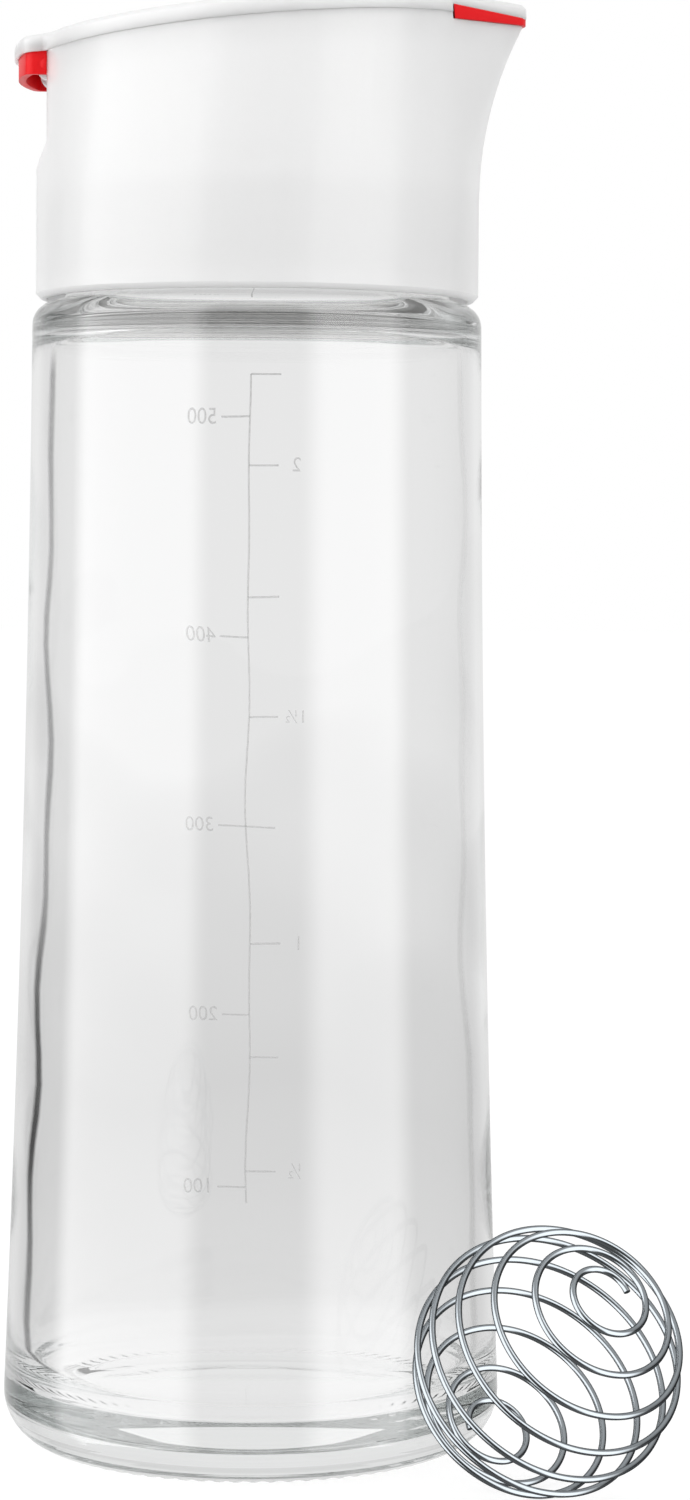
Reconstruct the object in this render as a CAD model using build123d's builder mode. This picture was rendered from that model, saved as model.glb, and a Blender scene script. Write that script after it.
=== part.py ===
from build123d import *
import os
from math import acos, cos, pi, radians, sin, sqrt, tan

# Salad dressing shaker: a thick glass bottle, a screw lid with a hinged flip cap
# and a spring wire whisk ball that stands beside it. All lengths are millimetres.
# Z is up and is the bottle's own axis, the floor is z = 0, and the spout faces +X.

os.makedirs("parts", exist_ok=True)

# Fits that several pieces share
press_fit = 0.02        # radial, a pin held fast in its bore
running_fit = 0.08      # radial, a bore that turns on its pin
seat_gap = 0.2          # round a piece that is clipped into another
moving_gap = 0.3        # between pieces that swing past each other
overrun = 6.0           # how far a cut runs past the faces it opens

# Glass bottle
foot_radius = 38.0      # where the side would meet the floor without its heel
shoulder_radius = 33.8
shoulder_height = 171.6
side_bow = 0.74         # how far the side draws in from a straight taper
glass_wall = 3.0
heel_round = 8.0
standing_ring_width = 1.6
push_up = 3.0           # rise of the underside at its middle
base_thickness = 6.5
floor_crown = 1.0
inner_heel_round = 7.0
shoulder_width = 4.9    # from the shoulder's edge in to the neck
shoulder_rise = 1.5     # climb of the shoulder from its edge to the neck
shoulder_round = 3.5
shoulder_thickness = 3.9
inner_shoulder_round = 3.4
throat_round = 2.4
neck_wall = 3.0
neck_height = 12.9      # from the shoulder up to the rim
rim_chamfer = 0.8

# Gasket on the rim
gasket_thickness = 1.4
gasket_inset = 0.4      # how far it reaches in past the mouth

# Screw ring, a threaded liner that hangs inside the lid shell
thread_room = 1.2       # between neck and ring, where the threads of both run
ring_wall = 1.4
ring_clearance = 1.4    # above the shoulder
ring_flange_thickness = 1.8
ring_flange_width = 7.0
ring_chamfer = 0.5

# Lid shell
lid_wall = 1.6
lid_clearance = 1.3     # above the shoulder's edge
shell_height = 38.8     # from the lid's bottom up to the seam, on the bottle's axis
lid_chamfer = 0.8
ledge_width = 2.7       # inner ledge that the screw ring hangs under
ledge_thickness = 1.6
deck_drop = 3.6         # deck's top below the seam
deck_thickness = 1.6

# Seam between lid shell and cap: a plane that climbs towards the spout
seam_tilt = 5.3         # degrees
seam_gap = 0.2

# Spout: its tip flares out along an arc that starts tangent to the lid's side
flare_drop = 23.7       # the arc starts this far below the seam
flare_radius = 57.0
flare_rise = 27.4       # from the flare's start to where the tip is sharpest
nose_tip_round = 4.5
nose_depth = 17.3       # the flare's sides leave the round lid this far behind its front
nose_start_angle = 8.0  # degrees: where the spout's side edges begin on the round lid
nose_edge_share = 0.9   # of that angle, where the tip's own arc begins
nose_sections = 5

# Hinge
hinge_inset = 2.0       # pin's middle inside the round lid's side
hinge_drop = 2.0        # and below the seam straight above it
pin_radius = 0.8
pin_end_inset = 0.4     # its ends inside the outer faces of the tab's cheeks
lug_radius = 1.7
lug_thickness = 3.0
lug_spacing = 8.0       # clear width between the two lugs

# Thumb scoop at the back of the shell: an arc with its middle behind and above the pin
scoop_radius = 45.3
scoop_rise = 9.8        # its middle above the pin's
scoop_depth = 4.2       # its wall in front of the pin
scoop_side_gap = 0.2    # beside the tab's cheeks

# Pour hole, vent hole and the raised lips round them
pour_radius = 6.0
pour_gap = 1.2          # from its seal to the spout strip
vent_back = 15.0        # behind the bottle's axis, along the seam
vent_radius = 1.8
lip_height = 1.4
lip_wall = 1.4

# Cap cover
cap_height = 3.5        # dome above the seam, on the bottle's axis
dome_radius = 560.0
cover_wall = 1.6
cover_skin = 1.3
cover_chamfer = 0.6
tab_reach = 3.3         # thumb tab past the round lid's side
tab_half_width = 12.0
tab_corner = 2.0
tab_root = 20.0         # the tab grows out of the cover behind this
tab_neck_round = 1.5    # where the tab's sides run into the round cover
tab_rim = 0.6           # cover wall left round the frame in the tab

# Cap frame, seen as the coloured strip at the spout and under the tab
frame_plate = 0.8
locating_rim_depth = 2.2
locating_rim_wall = 1.2
locating_rim_back = 10.0    # it runs this far back past the bottle's axis
strip_back = 4.6        # the spout strip begins this far inside the round lid's front
strip_drop = 1.0        # strip's lower edge below the seam
strip_rise = 3.7        # its flat top above the seam's height on the bottle's axis
strip_inset = 0.1
skirt_depth = 1.5       # tab skirt below the pin's middle
skirt_wall = 1.1
skirt_front = 2.0       # how far the cheeks reach in front of the pin
skirt_corner = 1.4
cheek_round = 1.3

# Seals under the cap
seal_overlap = 0.6      # flange past the lip it lies on
seal_plug_taper = 6.0   # degrees
peg_radius = 2.6
peg_length = 3.0
vent_plug_length = 2.4
vent_peg_radius = 0.9
vent_peg_length = 1.6

# Whisk ball: one spring wire wound over a sphere from pole to pole
ball_diameter = 39.0
wire_diameter = 1.0
ball_gap = 0.3          # ball to bottle, where it stands
ball_bearing = -41.9    # degrees round the bottle from the spout
turns = 9.5
turn_pitch = 18.1       # degrees of the sphere climbed in each turn
pole_opening = 12.0     # degrees from the pole to the first turn
pole_tilt = 49.5        # degrees of the winding's axis from upright
pole_bearing = -60.7    # degrees round from the spout that the axis leans
equator_angle = 90      # degrees from pole to equator
wire_sides = 5
gap_samples = 24        # points on each turn for the gap check


# Sizes that follow from the ones above
neck_radius = shoulder_radius - shoulder_width
mouth_radius = neck_radius - neck_wall
neck_foot_height = shoulder_height + shoulder_rise
rim_height = neck_foot_height + neck_height
standing_ring_inner = foot_radius - heel_round - standing_ring_width
floor_height = push_up + base_thickness
floor_edge_height = floor_height - floor_crown
inner_side_top = shoulder_height - shoulder_thickness
throat_height = neck_foot_height - shoulder_thickness
gasket_top = rim_height + gasket_thickness
ring_inner = neck_radius + thread_room
ring_outer = ring_inner + ring_wall
ring_bottom = neck_foot_height + ring_clearance
ring_top = gasket_top + ring_flange_thickness
ledge_height = ring_top + seat_gap
lid_inner = ring_outer + seat_gap
lid_radius = lid_inner + lid_wall
nose_root = lid_radius - nose_depth
lid_bottom = shoulder_height + lid_clearance
seam_height = lid_bottom + shell_height
tilt = radians(seam_tilt)
seam_plane = Plane(
    origin=(0, 0, seam_height),
    x_dir=(cos(tilt), 0, sin(tilt)),
    z_dir=(-sin(tilt), 0, cos(tilt)),
)
deck_plane = seam_plane.offset(-deck_drop)
form_top = seam_height + lid_radius * tan(tilt) + overrun
flare_start = seam_height - flare_drop
hinge_back = lid_radius - hinge_inset
hinge_height = seam_height - hinge_back * tan(tilt) - hinge_drop
tab_radius = lid_radius + tab_reach
skirt_radius = tab_radius - tab_rim - press_fit
skirt_half_width = tab_half_width - tab_rim - press_fit
skirt_bottom = hinge_height - skirt_depth
pin_length = 2 * (skirt_half_width - pin_end_inset)
scoop_half_width = skirt_half_width + scoop_side_gap
scoop_height = hinge_height + scoop_rise
scoop_face = scoop_depth - hinge_back
scoop_middle = scoop_face - sqrt(scoop_radius**2 - scoop_rise**2)
seal_flange_radius = pour_radius + lip_wall + seal_overlap
vent_flange_radius = vent_radius + lip_wall + seal_overlap
seal_flange_depth = deck_drop - lip_height - seat_gap
strip_start = lid_radius - strip_back
strip_top = seam_height + strip_rise
pour_along = strip_start - pour_gap - seal_flange_radius


def side_radius(height):
    """Outer radius of the glass at a height: a straight taper less a shallow bow."""
    share = height / shoulder_height
    taper = foot_radius + (shoulder_radius - foot_radius) * share
    return taper - 4 * side_bow * share * (1 - share)


def spout_tip(height):
    """How far the spout reaches in front of the bottle's axis at a height."""
    climb = max(height - flare_start, 0)
    return lid_radius + flare_radius - sqrt(flare_radius**2 - climb**2)


def spout_round(height):
    """Radius of the spout's tip in plan: it sharpens from the lid's own as it climbs."""
    share = (height - flare_start) / flare_rise
    return lid_radius + (nose_tip_round - lid_radius) * min(share, 1)


def polar(radius, angle):
    """Point at a radius and an angle, in radians, in a sketch."""
    return (radius * cos(angle), radius * sin(angle))


def nearest(vertices, x, y):
    """The sketch corner nearest to a point."""
    return vertices.sort_by_distance((x, y))[0]


spout_reach = spout_tip(seam_height + spout_tip(seam_height) * tan(tilt))


# Glass bottle: one wall section from the underside round to the inner floor
with BuildPart() as glass_bottle:
    with BuildSketch(Plane.XZ) as wall_section:
        with BuildLine():
            TangentArc((0, push_up), (standing_ring_inner, 0), tangent=(1, 0))
            Line((standing_ring_inner, 0), (foot_radius, 0))
            ThreePointArc(
                (foot_radius, 0),
                (side_radius(shoulder_height / 2), shoulder_height / 2),
                (shoulder_radius, shoulder_height),
            )
            Polyline(
                (shoulder_radius, shoulder_height),
                (neck_radius, neck_foot_height),
                (neck_radius, rim_height),
                (mouth_radius, rim_height),
                (mouth_radius, throat_height),
                (side_radius(inner_side_top) - glass_wall, inner_side_top),
            )
            middle_height = (inner_side_top + floor_edge_height) / 2
            ThreePointArc(
                (side_radius(inner_side_top) - glass_wall, inner_side_top),
                (side_radius(middle_height) - glass_wall, middle_height),
                (side_radius(floor_edge_height) - glass_wall, floor_edge_height),
            )
            TangentArc(
                (0, floor_height),
                (side_radius(floor_edge_height) - glass_wall, floor_edge_height),
                tangent=(1, 0),
            )
            Line((0, floor_height), (0, push_up))
        make_face()
        section_corners = (
            (foot_radius, 0, heel_round),
            (shoulder_radius, shoulder_height, shoulder_round),
            (mouth_radius, throat_height, throat_round),
            (side_radius(inner_side_top) - glass_wall, inner_side_top, inner_shoulder_round),
            (side_radius(floor_edge_height) - glass_wall, floor_edge_height, inner_heel_round),
        )
        for corner_x, corner_y, corner_round in section_corners:
            fillet(nearest(wall_section.vertices(), corner_x, corner_y), corner_round)
        chamfer(wall_section.vertices().group_by(Axis.Y)[-1], rim_chamfer)
    revolve(axis=Axis.Z)
glass_bottle.part.label = "glass_bottle"
export_step(glass_bottle.part, "parts/glass_bottle.step")


# Gasket: a flat silicone ring that lies on the rim
with BuildPart() as neck_gasket:
    with BuildSketch(Plane.XY.offset(rim_height)):
        Circle(ring_inner - moving_gap)
        Circle(mouth_radius - gasket_inset, mode=Mode.SUBTRACT)
    extrude(amount=gasket_thickness)
neck_gasket.part.label = "neck_gasket"
export_step(neck_gasket.part, "parts/neck_gasket.step")


# Screw ring: a skirt round the neck with a flange that presses on the gasket
with BuildPart() as screw_ring:
    with BuildSketch(Plane.XZ):
        with BuildLine():
            Polyline(
                (ring_inner, ring_bottom),
                (ring_outer, ring_bottom),
                (ring_outer, ring_top),
                (ring_outer - ring_flange_width, ring_top),
                (ring_outer - ring_flange_width, gasket_top),
                (ring_inner, gasket_top),
                close=True,
            )
        make_face()
    revolve(axis=Axis.Z)
    rim_edges = screw_ring.edges().filter_by(GeomType.CIRCLE)
    chamfer(rim_edges.group_by(Axis.Z)[0] + rim_edges.group_by(Axis.Z)[-1], ring_chamfer)
screw_ring.part.label = "screw_ring"
export_step(screw_ring.part, "parts/screw_ring.step")


def nose_section(height, inset):
    """Front of the lid's plan at a height, drawn in by an inset."""
    radius = lid_radius - inset
    tip_round = spout_round(height) - inset
    tip_centre = spout_tip(height) - spout_round(height)
    root_angle = acos(nose_root / radius)
    root = (nose_root, radius * sin(root_angle))
    if height > flare_start:
        touch = acos((lid_radius - spout_round(height)) / tip_centre)
        tip_edge = (tip_centre + tip_round * cos(touch), tip_round * sin(touch))
    else:
        touch = radians(nose_start_angle)
        tip_edge = polar(radius, nose_edge_share * touch)
    with BuildSketch(Plane.XY.offset(height)) as section:
        with BuildLine() as half:
            ThreePointArc(root, polar(radius, (root_angle + touch) / 2), polar(radius, touch))
            if height > flare_start:
                Line(polar(radius, touch), tip_edge)
            else:
                line_middle = polar(radius, (1 + nose_edge_share) / 2 * touch)
                ThreePointArc(polar(radius, touch), line_middle, tip_edge)
            mirror(about=Plane.XZ)
            ThreePointArc(tip_edge, (tip_centre + tip_round, 0), (tip_edge[0], -tip_edge[1]))
            Line(root, (nose_root, -root[1]))
        make_face()
    return section.sketch


def lid_form(inset, low):
    """The lid's solid form from a low height up past the seam, drawn in by an inset."""
    section_step = (form_top - flare_start) / nose_sections
    heights = [flare_start + section_step * index for index in range(nose_sections + 1)]
    with BuildPart() as form:
        with BuildSketch(Plane.XY.offset(low)):
            Circle(lid_radius - inset)
        extrude(amount=flare_start - low)
        with BuildSketch(Plane.XY.offset(flare_start)):
            Circle(lid_radius - inset)
            with Locations((nose_root, 0)):
                Rectangle(2 * lid_radius, 2 * lid_radius, align=(Align.MIN, Align.CENTER), mode=Mode.SUBTRACT)
        extrude(amount=form_top - flare_start)
        loft(sections=[nose_section(height, inset) for height in heights])
    return form.part


def lid_outline(inset, reach):
    """Plan of the lid: its circle and the spout's tip circle joined by tangents."""
    with BuildSketch() as outline:
        Circle(lid_radius - inset)
        with Locations((reach - nose_tip_round, 0)):
            Circle(nose_tip_round - inset)
        make_hull()
    return outline.sketch


def strip_form(inset, start, drop, top):
    """Front of the lid's plan past a start along the seam, from below the seam up to a top."""
    with BuildPart() as form:
        with BuildSketch(Plane.XY.offset(skirt_bottom)):
            add(lid_outline(inset, spout_reach))
        extrude(amount=top - skirt_bottom)
        split(bisect_by=seam_plane.offset(-drop), keep=Keep.TOP)
        start_plane = Plane(origin=seam_plane.from_local_coords((start, 0, 0)), z_dir=seam_plane.x_dir)
        split(bisect_by=start_plane, keep=Keep.TOP)
    return form.part


# Two walls inside the shell: the slanted pour deck and the wall of the thumb scoop
with BuildPart() as deck:
    add(lid_form(lid_wall / 2, lid_bottom))
    split(bisect_by=deck_plane, keep=Keep.BOTTOM)
    split(bisect_by=deck_plane.offset(-deck_thickness), keep=Keep.TOP)

with BuildPart() as scoop_wall:
    with BuildSketch(Plane.XY.offset(ledge_height)):
        Circle(lid_radius - lid_wall / 2)
    extrude(amount=form_top - ledge_height)
    with BuildSketch(Plane.XZ):
        with Locations((scoop_middle, scoop_height)):
            Circle(scoop_radius + lid_wall)
    extrude(amount=scoop_half_width + lid_wall, both=True, mode=Mode.INTERSECT)

# Lid shell: an open tube with a flared spout, a slanted pour deck and a thumb scoop
with BuildPart() as lid_shell:
    add(lid_form(0, lid_bottom))
    chamfer(lid_shell.faces().sort_by(Axis.Z)[0].edges(), lid_chamfer)
    add(lid_form(lid_wall, lid_bottom - overrun), mode=Mode.SUBTRACT)
    with BuildSketch(Plane.XY.offset(ledge_height)):
        Circle(lid_radius - lid_wall / 2)
        Circle(lid_inner - ledge_width, mode=Mode.SUBTRACT)
    extrude(amount=ledge_thickness)
    add(deck.part)
    add(scoop_wall.part)
    with BuildSketch(Plane.XZ):
        with Locations((scoop_middle, scoop_height)):
            Circle(scoop_radius)
    extrude(amount=scoop_half_width, both=True, mode=Mode.SUBTRACT)
    with BuildSketch(deck_plane.offset(-deck_thickness / 2)):
        with Locations((pour_along, 0)):
            Circle(pour_radius + lip_wall)
        with Locations((-vent_back, 0)):
            Circle(vent_radius + lip_wall)
    extrude(amount=lip_height + deck_thickness / 2)
    with BuildSketch(deck_plane.offset(lip_height)):
        with Locations((pour_along, 0)):
            Circle(pour_radius)
        with Locations((-vent_back, 0)):
            Circle(vent_radius)
    extrude(amount=-(lip_height + deck_thickness + overrun), mode=Mode.SUBTRACT)
    split(bisect_by=seam_plane.offset(-seam_gap), keep=Keep.BOTTOM)
    add(strip_form(-overrun, strip_start - moving_gap, strip_drop + seam_gap, form_top), mode=Mode.SUBTRACT)
    with BuildSketch(Plane.XZ.offset(lug_spacing / 2)):
        with Locations((-hinge_back, hinge_height)):
            Circle(lug_radius)
            Rectangle(
                scoop_face + lid_wall / 2 + hinge_back,
                2 * lug_radius,
                align=(Align.MIN, Align.CENTER),
            )
            Circle(pin_radius + press_fit, mode=Mode.SUBTRACT)
    lug = extrude(amount=lug_thickness)
    mirror(lug, about=Plane.XZ)
lid_shell.part.label = "lid_shell"
export_step(lid_shell.part, "parts/lid_shell.step")


# Hinge pin: held fast in the two lugs, and the tab's cheeks turn on its ends
with BuildPart() as hinge_pin:
    with BuildSketch(Plane.XZ):
        with Locations((-hinge_back, hinge_height)):
            Circle(pin_radius)
    extrude(amount=pin_length / 2, both=True)
    chamfer(hinge_pin.edges().filter_by(GeomType.CIRCLE), pin_radius / 4)
hinge_pin.part.label = "hinge_pin"
export_step(hinge_pin.part, "parts/hinge_pin.step")


def tab_outline(radius, half_width, corner, root):
    """Plan of the thumb tab: a strip that ends in an arc about the bottle's axis."""
    with BuildSketch() as outline:
        Circle(radius)
        with Locations((-root, 0)):
            Rectangle(radius, 2 * half_width, align=(Align.MAX, Align.CENTER), mode=Mode.INTERSECT)
        if corner:
            fillet(outline.vertices().group_by(Axis.X)[0], corner)
    return outline.sketch


def under_dome(outline, radius):
    """A plan outline raised from the seam to a dome of the cap's own centre."""
    with BuildPart() as raised:
        with BuildSketch(Plane.XY.offset(skirt_bottom)):
            add(outline)
        extrude(amount=form_top - skirt_bottom)
        split(bisect_by=seam_plane, keep=Keep.TOP)
        with Locations(seam_plane.offset(cap_height - dome_radius)):
            Sphere(radius, rotation=(90, 0, 0), mode=Mode.INTERSECT)
    return raised.part


# Cap cover: a shallow dome over the lid's plan, with the thumb tab at its back
with BuildSketch() as cover_plan:
    add(lid_outline(0, spout_reach))
    add(tab_outline(tab_radius, tab_half_width, tab_corner, tab_root))
    tab_neck = sqrt(lid_radius**2 - tab_half_width**2)
    fillet(nearest(cover_plan.vertices(), -tab_neck, tab_half_width), tab_neck_round)
    fillet(nearest(cover_plan.vertices(), -tab_neck, -tab_half_width), tab_neck_round)

with BuildSketch() as recess_plan:
    add(lid_outline(cover_wall, spout_reach))
    add(tab_outline(skirt_radius + press_fit, skirt_half_width + press_fit, skirt_corner, tab_root))

with BuildPart() as cap_cover:
    add(under_dome(cover_plan.sketch, dome_radius))
    chamfer(cap_cover.faces().filter_by(GeomType.SPHERE).edges(), cover_chamfer)
    add(under_dome(recess_plan.sketch, dome_radius - cover_skin), mode=Mode.SUBTRACT)
    add(strip_form(-overrun, strip_start - seat_gap, strip_drop, strip_top), mode=Mode.SUBTRACT)
cap_cover.part.label = "cap_cover"
export_step(cap_cover.part, "parts/cap_cover.step")


# The cap frame's locating rim and its tab skirt
rim_inset = lid_wall + moving_gap
rim_reach = spout_tip(seam_height + spout_reach * tan(tilt) - locating_rim_depth)
with BuildPart() as locating_rim:
    with BuildSketch(Plane.XY.offset(skirt_bottom)):
        add(lid_outline(rim_inset, rim_reach))
        add(lid_outline(rim_inset + locating_rim_wall, rim_reach), mode=Mode.SUBTRACT)
        with Locations((-locating_rim_back, 0)):
            Rectangle(lid_radius, 2 * lid_radius, align=(Align.MAX, Align.CENTER), mode=Mode.SUBTRACT)
    extrude(amount=form_top - skirt_bottom)
    split(bisect_by=seam_plane.offset(-locating_rim_depth), keep=Keep.TOP)
    split(bisect_by=seam_plane.offset(frame_plate), keep=Keep.BOTTOM)

with BuildPart() as tab_skirt:
    with BuildSketch(Plane.XY.offset(skirt_bottom)):
        skirt_root = hinge_back - skirt_front
        add(tab_outline(skirt_radius, skirt_half_width, skirt_corner, skirt_root))
        hollow = tab_outline(skirt_radius - skirt_wall, skirt_half_width - skirt_wall, 0, skirt_root - skirt_wall)
        add(hollow, mode=Mode.SUBTRACT)
    extrude(amount=form_top - skirt_bottom)
    split(bisect_by=seam_plane.offset(frame_plate), keep=Keep.BOTTOM)
    cheek_corners = tab_skirt.edges().filter_by(Axis.Y).group_by(Axis.Z)[0].group_by(Axis.X)[-1]
    fillet(cheek_corners, cheek_round)
    with BuildSketch(Plane.XZ):
        with Locations((-hinge_back, hinge_height)):
            Circle(pin_radius + running_fit)
    extrude(amount=tab_half_width, both=True, mode=Mode.SUBTRACT)

# Cap frame: a thin plate clipped into the cover, with the pieces above and two pegs
with BuildSketch() as plate_plan:
    add(lid_outline(cover_wall + seat_gap, spout_reach))
    add(tab_outline(skirt_radius, skirt_half_width, skirt_corner, tab_root))

with BuildPart() as cap_frame:
    with BuildSketch(Plane.XY.offset(skirt_bottom)):
        add(plate_plan.sketch)
    extrude(amount=form_top - skirt_bottom)
    split(bisect_by=seam_plane, keep=Keep.TOP)
    split(bisect_by=seam_plane.offset(frame_plate), keep=Keep.BOTTOM)
    add(locating_rim.part)
    add(tab_skirt.part)
    with Locations(seam_plane.offset(cap_height - dome_radius)):
        Sphere(dome_radius - cover_skin - seat_gap, rotation=(90, 0, 0), mode=Mode.INTERSECT)
    with BuildSketch(Plane.XY.offset(strip_top)):
        with Locations((strip_start, 0)):
            Rectangle(lid_radius, 2 * lid_radius, align=(Align.MIN, Align.CENTER))
    extrude(amount=overrun, mode=Mode.SUBTRACT)
    add(strip_form(strip_inset, strip_start, strip_drop, strip_top))
    with BuildSketch(seam_plane):
        with Locations((pour_along, 0)):
            Circle(peg_radius)
    extrude(amount=-peg_length)
    with BuildSketch(seam_plane):
        with Locations((-vent_back, 0)):
            Circle(vent_peg_radius)
    extrude(amount=-vent_peg_length)
cap_frame.part.label = "cap_frame"
export_step(cap_frame.part, "parts/cap_frame.step")


# Spout seal: a silicone stopper pushed on its peg, with a flange over the pour lip
with BuildPart() as spout_seal:
    with BuildSketch(seam_plane):
        with Locations((pour_along, 0)):
            Circle(seal_flange_radius)
    extrude(amount=-seal_flange_depth)
    with BuildSketch(seam_plane.offset(-seal_flange_depth)):
        with Locations((pour_along, 0)):
            Circle(pour_radius - moving_gap)
    extrude(amount=-(deck_drop + deck_thickness - seal_flange_depth), taper=seal_plug_taper)
    with BuildSketch(seam_plane):
        with Locations((pour_along, 0)):
            Circle(peg_radius + press_fit)
    extrude(amount=-(peg_length + press_fit), mode=Mode.SUBTRACT)
spout_seal.part.label = "spout_seal"
export_step(spout_seal.part, "parts/spout_seal.step")


# Vent seal: the same in small, over the vent hole
with BuildPart() as vent_seal:
    with BuildSketch(seam_plane):
        with Locations((-vent_back, 0)):
            Circle(vent_flange_radius)
    extrude(amount=-seal_flange_depth)
    with BuildSketch(seam_plane.offset(-seal_flange_depth)):
        with Locations((-vent_back, 0)):
            Circle(vent_radius - moving_gap)
    extrude(amount=-vent_plug_length, taper=seal_plug_taper)
    with BuildSketch(seam_plane):
        with Locations((-vent_back, 0)):
            Circle(vent_peg_radius + press_fit)
    extrude(amount=-(vent_peg_length + press_fit), mode=Mode.SUBTRACT)
vent_seal.part.label = "vent_seal"
export_step(vent_seal.part, "parts/vent_seal.step")


# Whisk ball: the wire's centre line runs over a sphere about the winding's axis
winding_radius = (ball_diameter - wire_diameter) / 2
axis_lean = radians(pole_tilt)
axis_bearing = radians(pole_bearing)
winding_axis = Vector(sin(axis_lean) * cos(axis_bearing), sin(axis_lean) * sin(axis_bearing), cos(axis_lean))
winding_side = Vector(0, 0, 1).cross(winding_axis).normalized()
winding_up = winding_axis.cross(winding_side)


def wound_direction(turn):
    """Unit vector from the ball's middle to the wire after a number of turns."""
    from_middle = abs(turn - turns / 2) * turn_pitch
    eased = ((equator_angle - from_middle) ** 4 + pole_opening**4) ** 0.25
    polar_angle = radians(eased if turn < turns / 2 else 2 * equator_angle - eased)
    across = winding_side * cos(2 * pi * turn) + winding_up * sin(2 * pi * turn)
    return winding_axis * cos(polar_angle) + across * sin(polar_angle)


def wound_tangent(turn):
    """Direction in which the wire runs after a number of turns."""
    step = 1 / 1000
    return (wound_direction(turn + step) - wound_direction(turn - step)).normalized()


samples = [index / gap_samples for index in range(int(turns * gap_samples) + 1)]
lowest_wire = min(wound_direction(turn).Z for turn in samples)
ball_height = -lowest_wire * winding_radius + wire_diameter / 2
ball_distance = side_radius(ball_height) + ball_gap + ball_diameter / 2
ball_angle = radians(ball_bearing)
ball_middle = Vector(ball_distance * cos(ball_angle), ball_distance * sin(ball_angle), ball_height)


def wire_point(turn):
    """Point of the wire's centre line after a number of turns."""
    return ball_middle + wound_direction(turn) * winding_radius


def biarc(start, start_way, end, end_way):
    """Two arcs that join two points, tangent to the way given at each and to each other."""
    chord = end - start
    ways = start_way + end_way
    square = 2 * (1 - start_way.dot(end_way))
    along = chord.dot(ways)
    reach = (sqrt(along**2 + square * chord.dot(chord)) - along) / square
    first = start + start_way * reach
    second = end - end_way * reach
    joint = (first + second) / 2
    TangentArc(start, joint, tangent=start_way)
    TangentArc(joint, end, tangent=second - first)


with BuildPart() as whisk_ball:
    with BuildLine() as winding:
        quarter_turns = round(4 * turns)
        for quarter in range(quarter_turns):
            here = quarter / 4
            there = (quarter + 1) / 4
            biarc(wire_point(here), wound_tangent(here), wire_point(there), wound_tangent(there))
    with BuildSketch(Plane(origin=wire_point(0), z_dir=wound_tangent(0))):
        RegularPolygon(wire_diameter / 2, wire_sides)
    sweep()
whisk_ball.part.label = "whisk_ball"
export_step(whisk_ball.part, "parts/whisk_ball.step")

# Least gap of the wire to itself: samples that are half a turn or more apart
line = [wire_point(turn) for turn in samples]
apart = gap_samples // 2
least = min(
    (line[first] - line[second]).length
    for first in range(len(line))
    for second in range(first + apart, len(line))
)
print(f"whisk ball: {turns} turns, least gap of the wire to itself {least - wire_diameter:.2f} mm")
print(f"whisk ball: middle at {ball_middle.X:.2f}, {ball_middle.Y:.2f}, {ball_middle.Z:.2f}")
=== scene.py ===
# %% [markdown]
# # A salad dressing shaker in Blender
# The object is a thick glass bottle with a white screw lid, a red inner frame that
# peeps out at the spout and under the thumb tab, and a whisk ball of spring wire.
# The solids come from a CAD frame that is never moved. This lesson dresses them: it
# builds the glass, the wire and the moulded pieces as meshes, and gives each a finish.

# %% Load the frame
from math import acos, cos, pi, radians, sin, sqrt, tan

import bmesh
import bpy
from mathutils import Matrix, Vector


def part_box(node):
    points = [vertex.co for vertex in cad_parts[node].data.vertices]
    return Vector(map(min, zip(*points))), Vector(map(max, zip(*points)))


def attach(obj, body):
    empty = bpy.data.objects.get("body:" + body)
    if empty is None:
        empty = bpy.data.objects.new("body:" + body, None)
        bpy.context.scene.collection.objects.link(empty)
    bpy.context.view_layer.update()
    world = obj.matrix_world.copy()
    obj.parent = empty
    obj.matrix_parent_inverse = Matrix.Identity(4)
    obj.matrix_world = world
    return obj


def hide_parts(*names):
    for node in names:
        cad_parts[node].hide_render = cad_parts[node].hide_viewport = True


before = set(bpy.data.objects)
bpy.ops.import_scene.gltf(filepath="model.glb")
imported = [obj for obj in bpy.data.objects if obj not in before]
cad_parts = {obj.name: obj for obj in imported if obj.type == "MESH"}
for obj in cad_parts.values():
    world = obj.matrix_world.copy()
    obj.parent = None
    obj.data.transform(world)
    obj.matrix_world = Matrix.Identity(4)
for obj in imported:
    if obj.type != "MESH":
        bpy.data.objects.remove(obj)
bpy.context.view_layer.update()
mm = 0.001
glass_low, glass_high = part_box("glass_bottle")
ball_low, ball_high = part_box("whisk_ball")

# %% [markdown]
# ## Writing node trees as expressions
# How strongly a finish shows at a place is often a product of simple functions. Wiring
# each Math node by hand hides the formula, so a small class wraps a socket and overloads
# the operators: an expression on such values adds its Math nodes by itself. Colours go
# through Mix nodes, because a Math node would turn them grey. Materials and Geometry
# Nodes are both trees of nodes, so they share one way of adding a node.


# %% A value that adds Math nodes
class Value:
    """A socket that adds a Math node when it is used in an expression."""

    def __init__(self, maker, socket):
        self.maker = maker
        self.socket = socket

    def __add__(self, other):
        return self.maker.maths("ADD", self, other)

    def __sub__(self, other):
        return self.maker.maths("SUBTRACT", self, other)

    def __rsub__(self, other):
        return self.maker.maths("SUBTRACT", other, self)

    def __mul__(self, other):
        return self.maker.maths("MULTIPLY", self, other)

    __radd__ = __add__
    __rmul__ = __mul__


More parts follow.
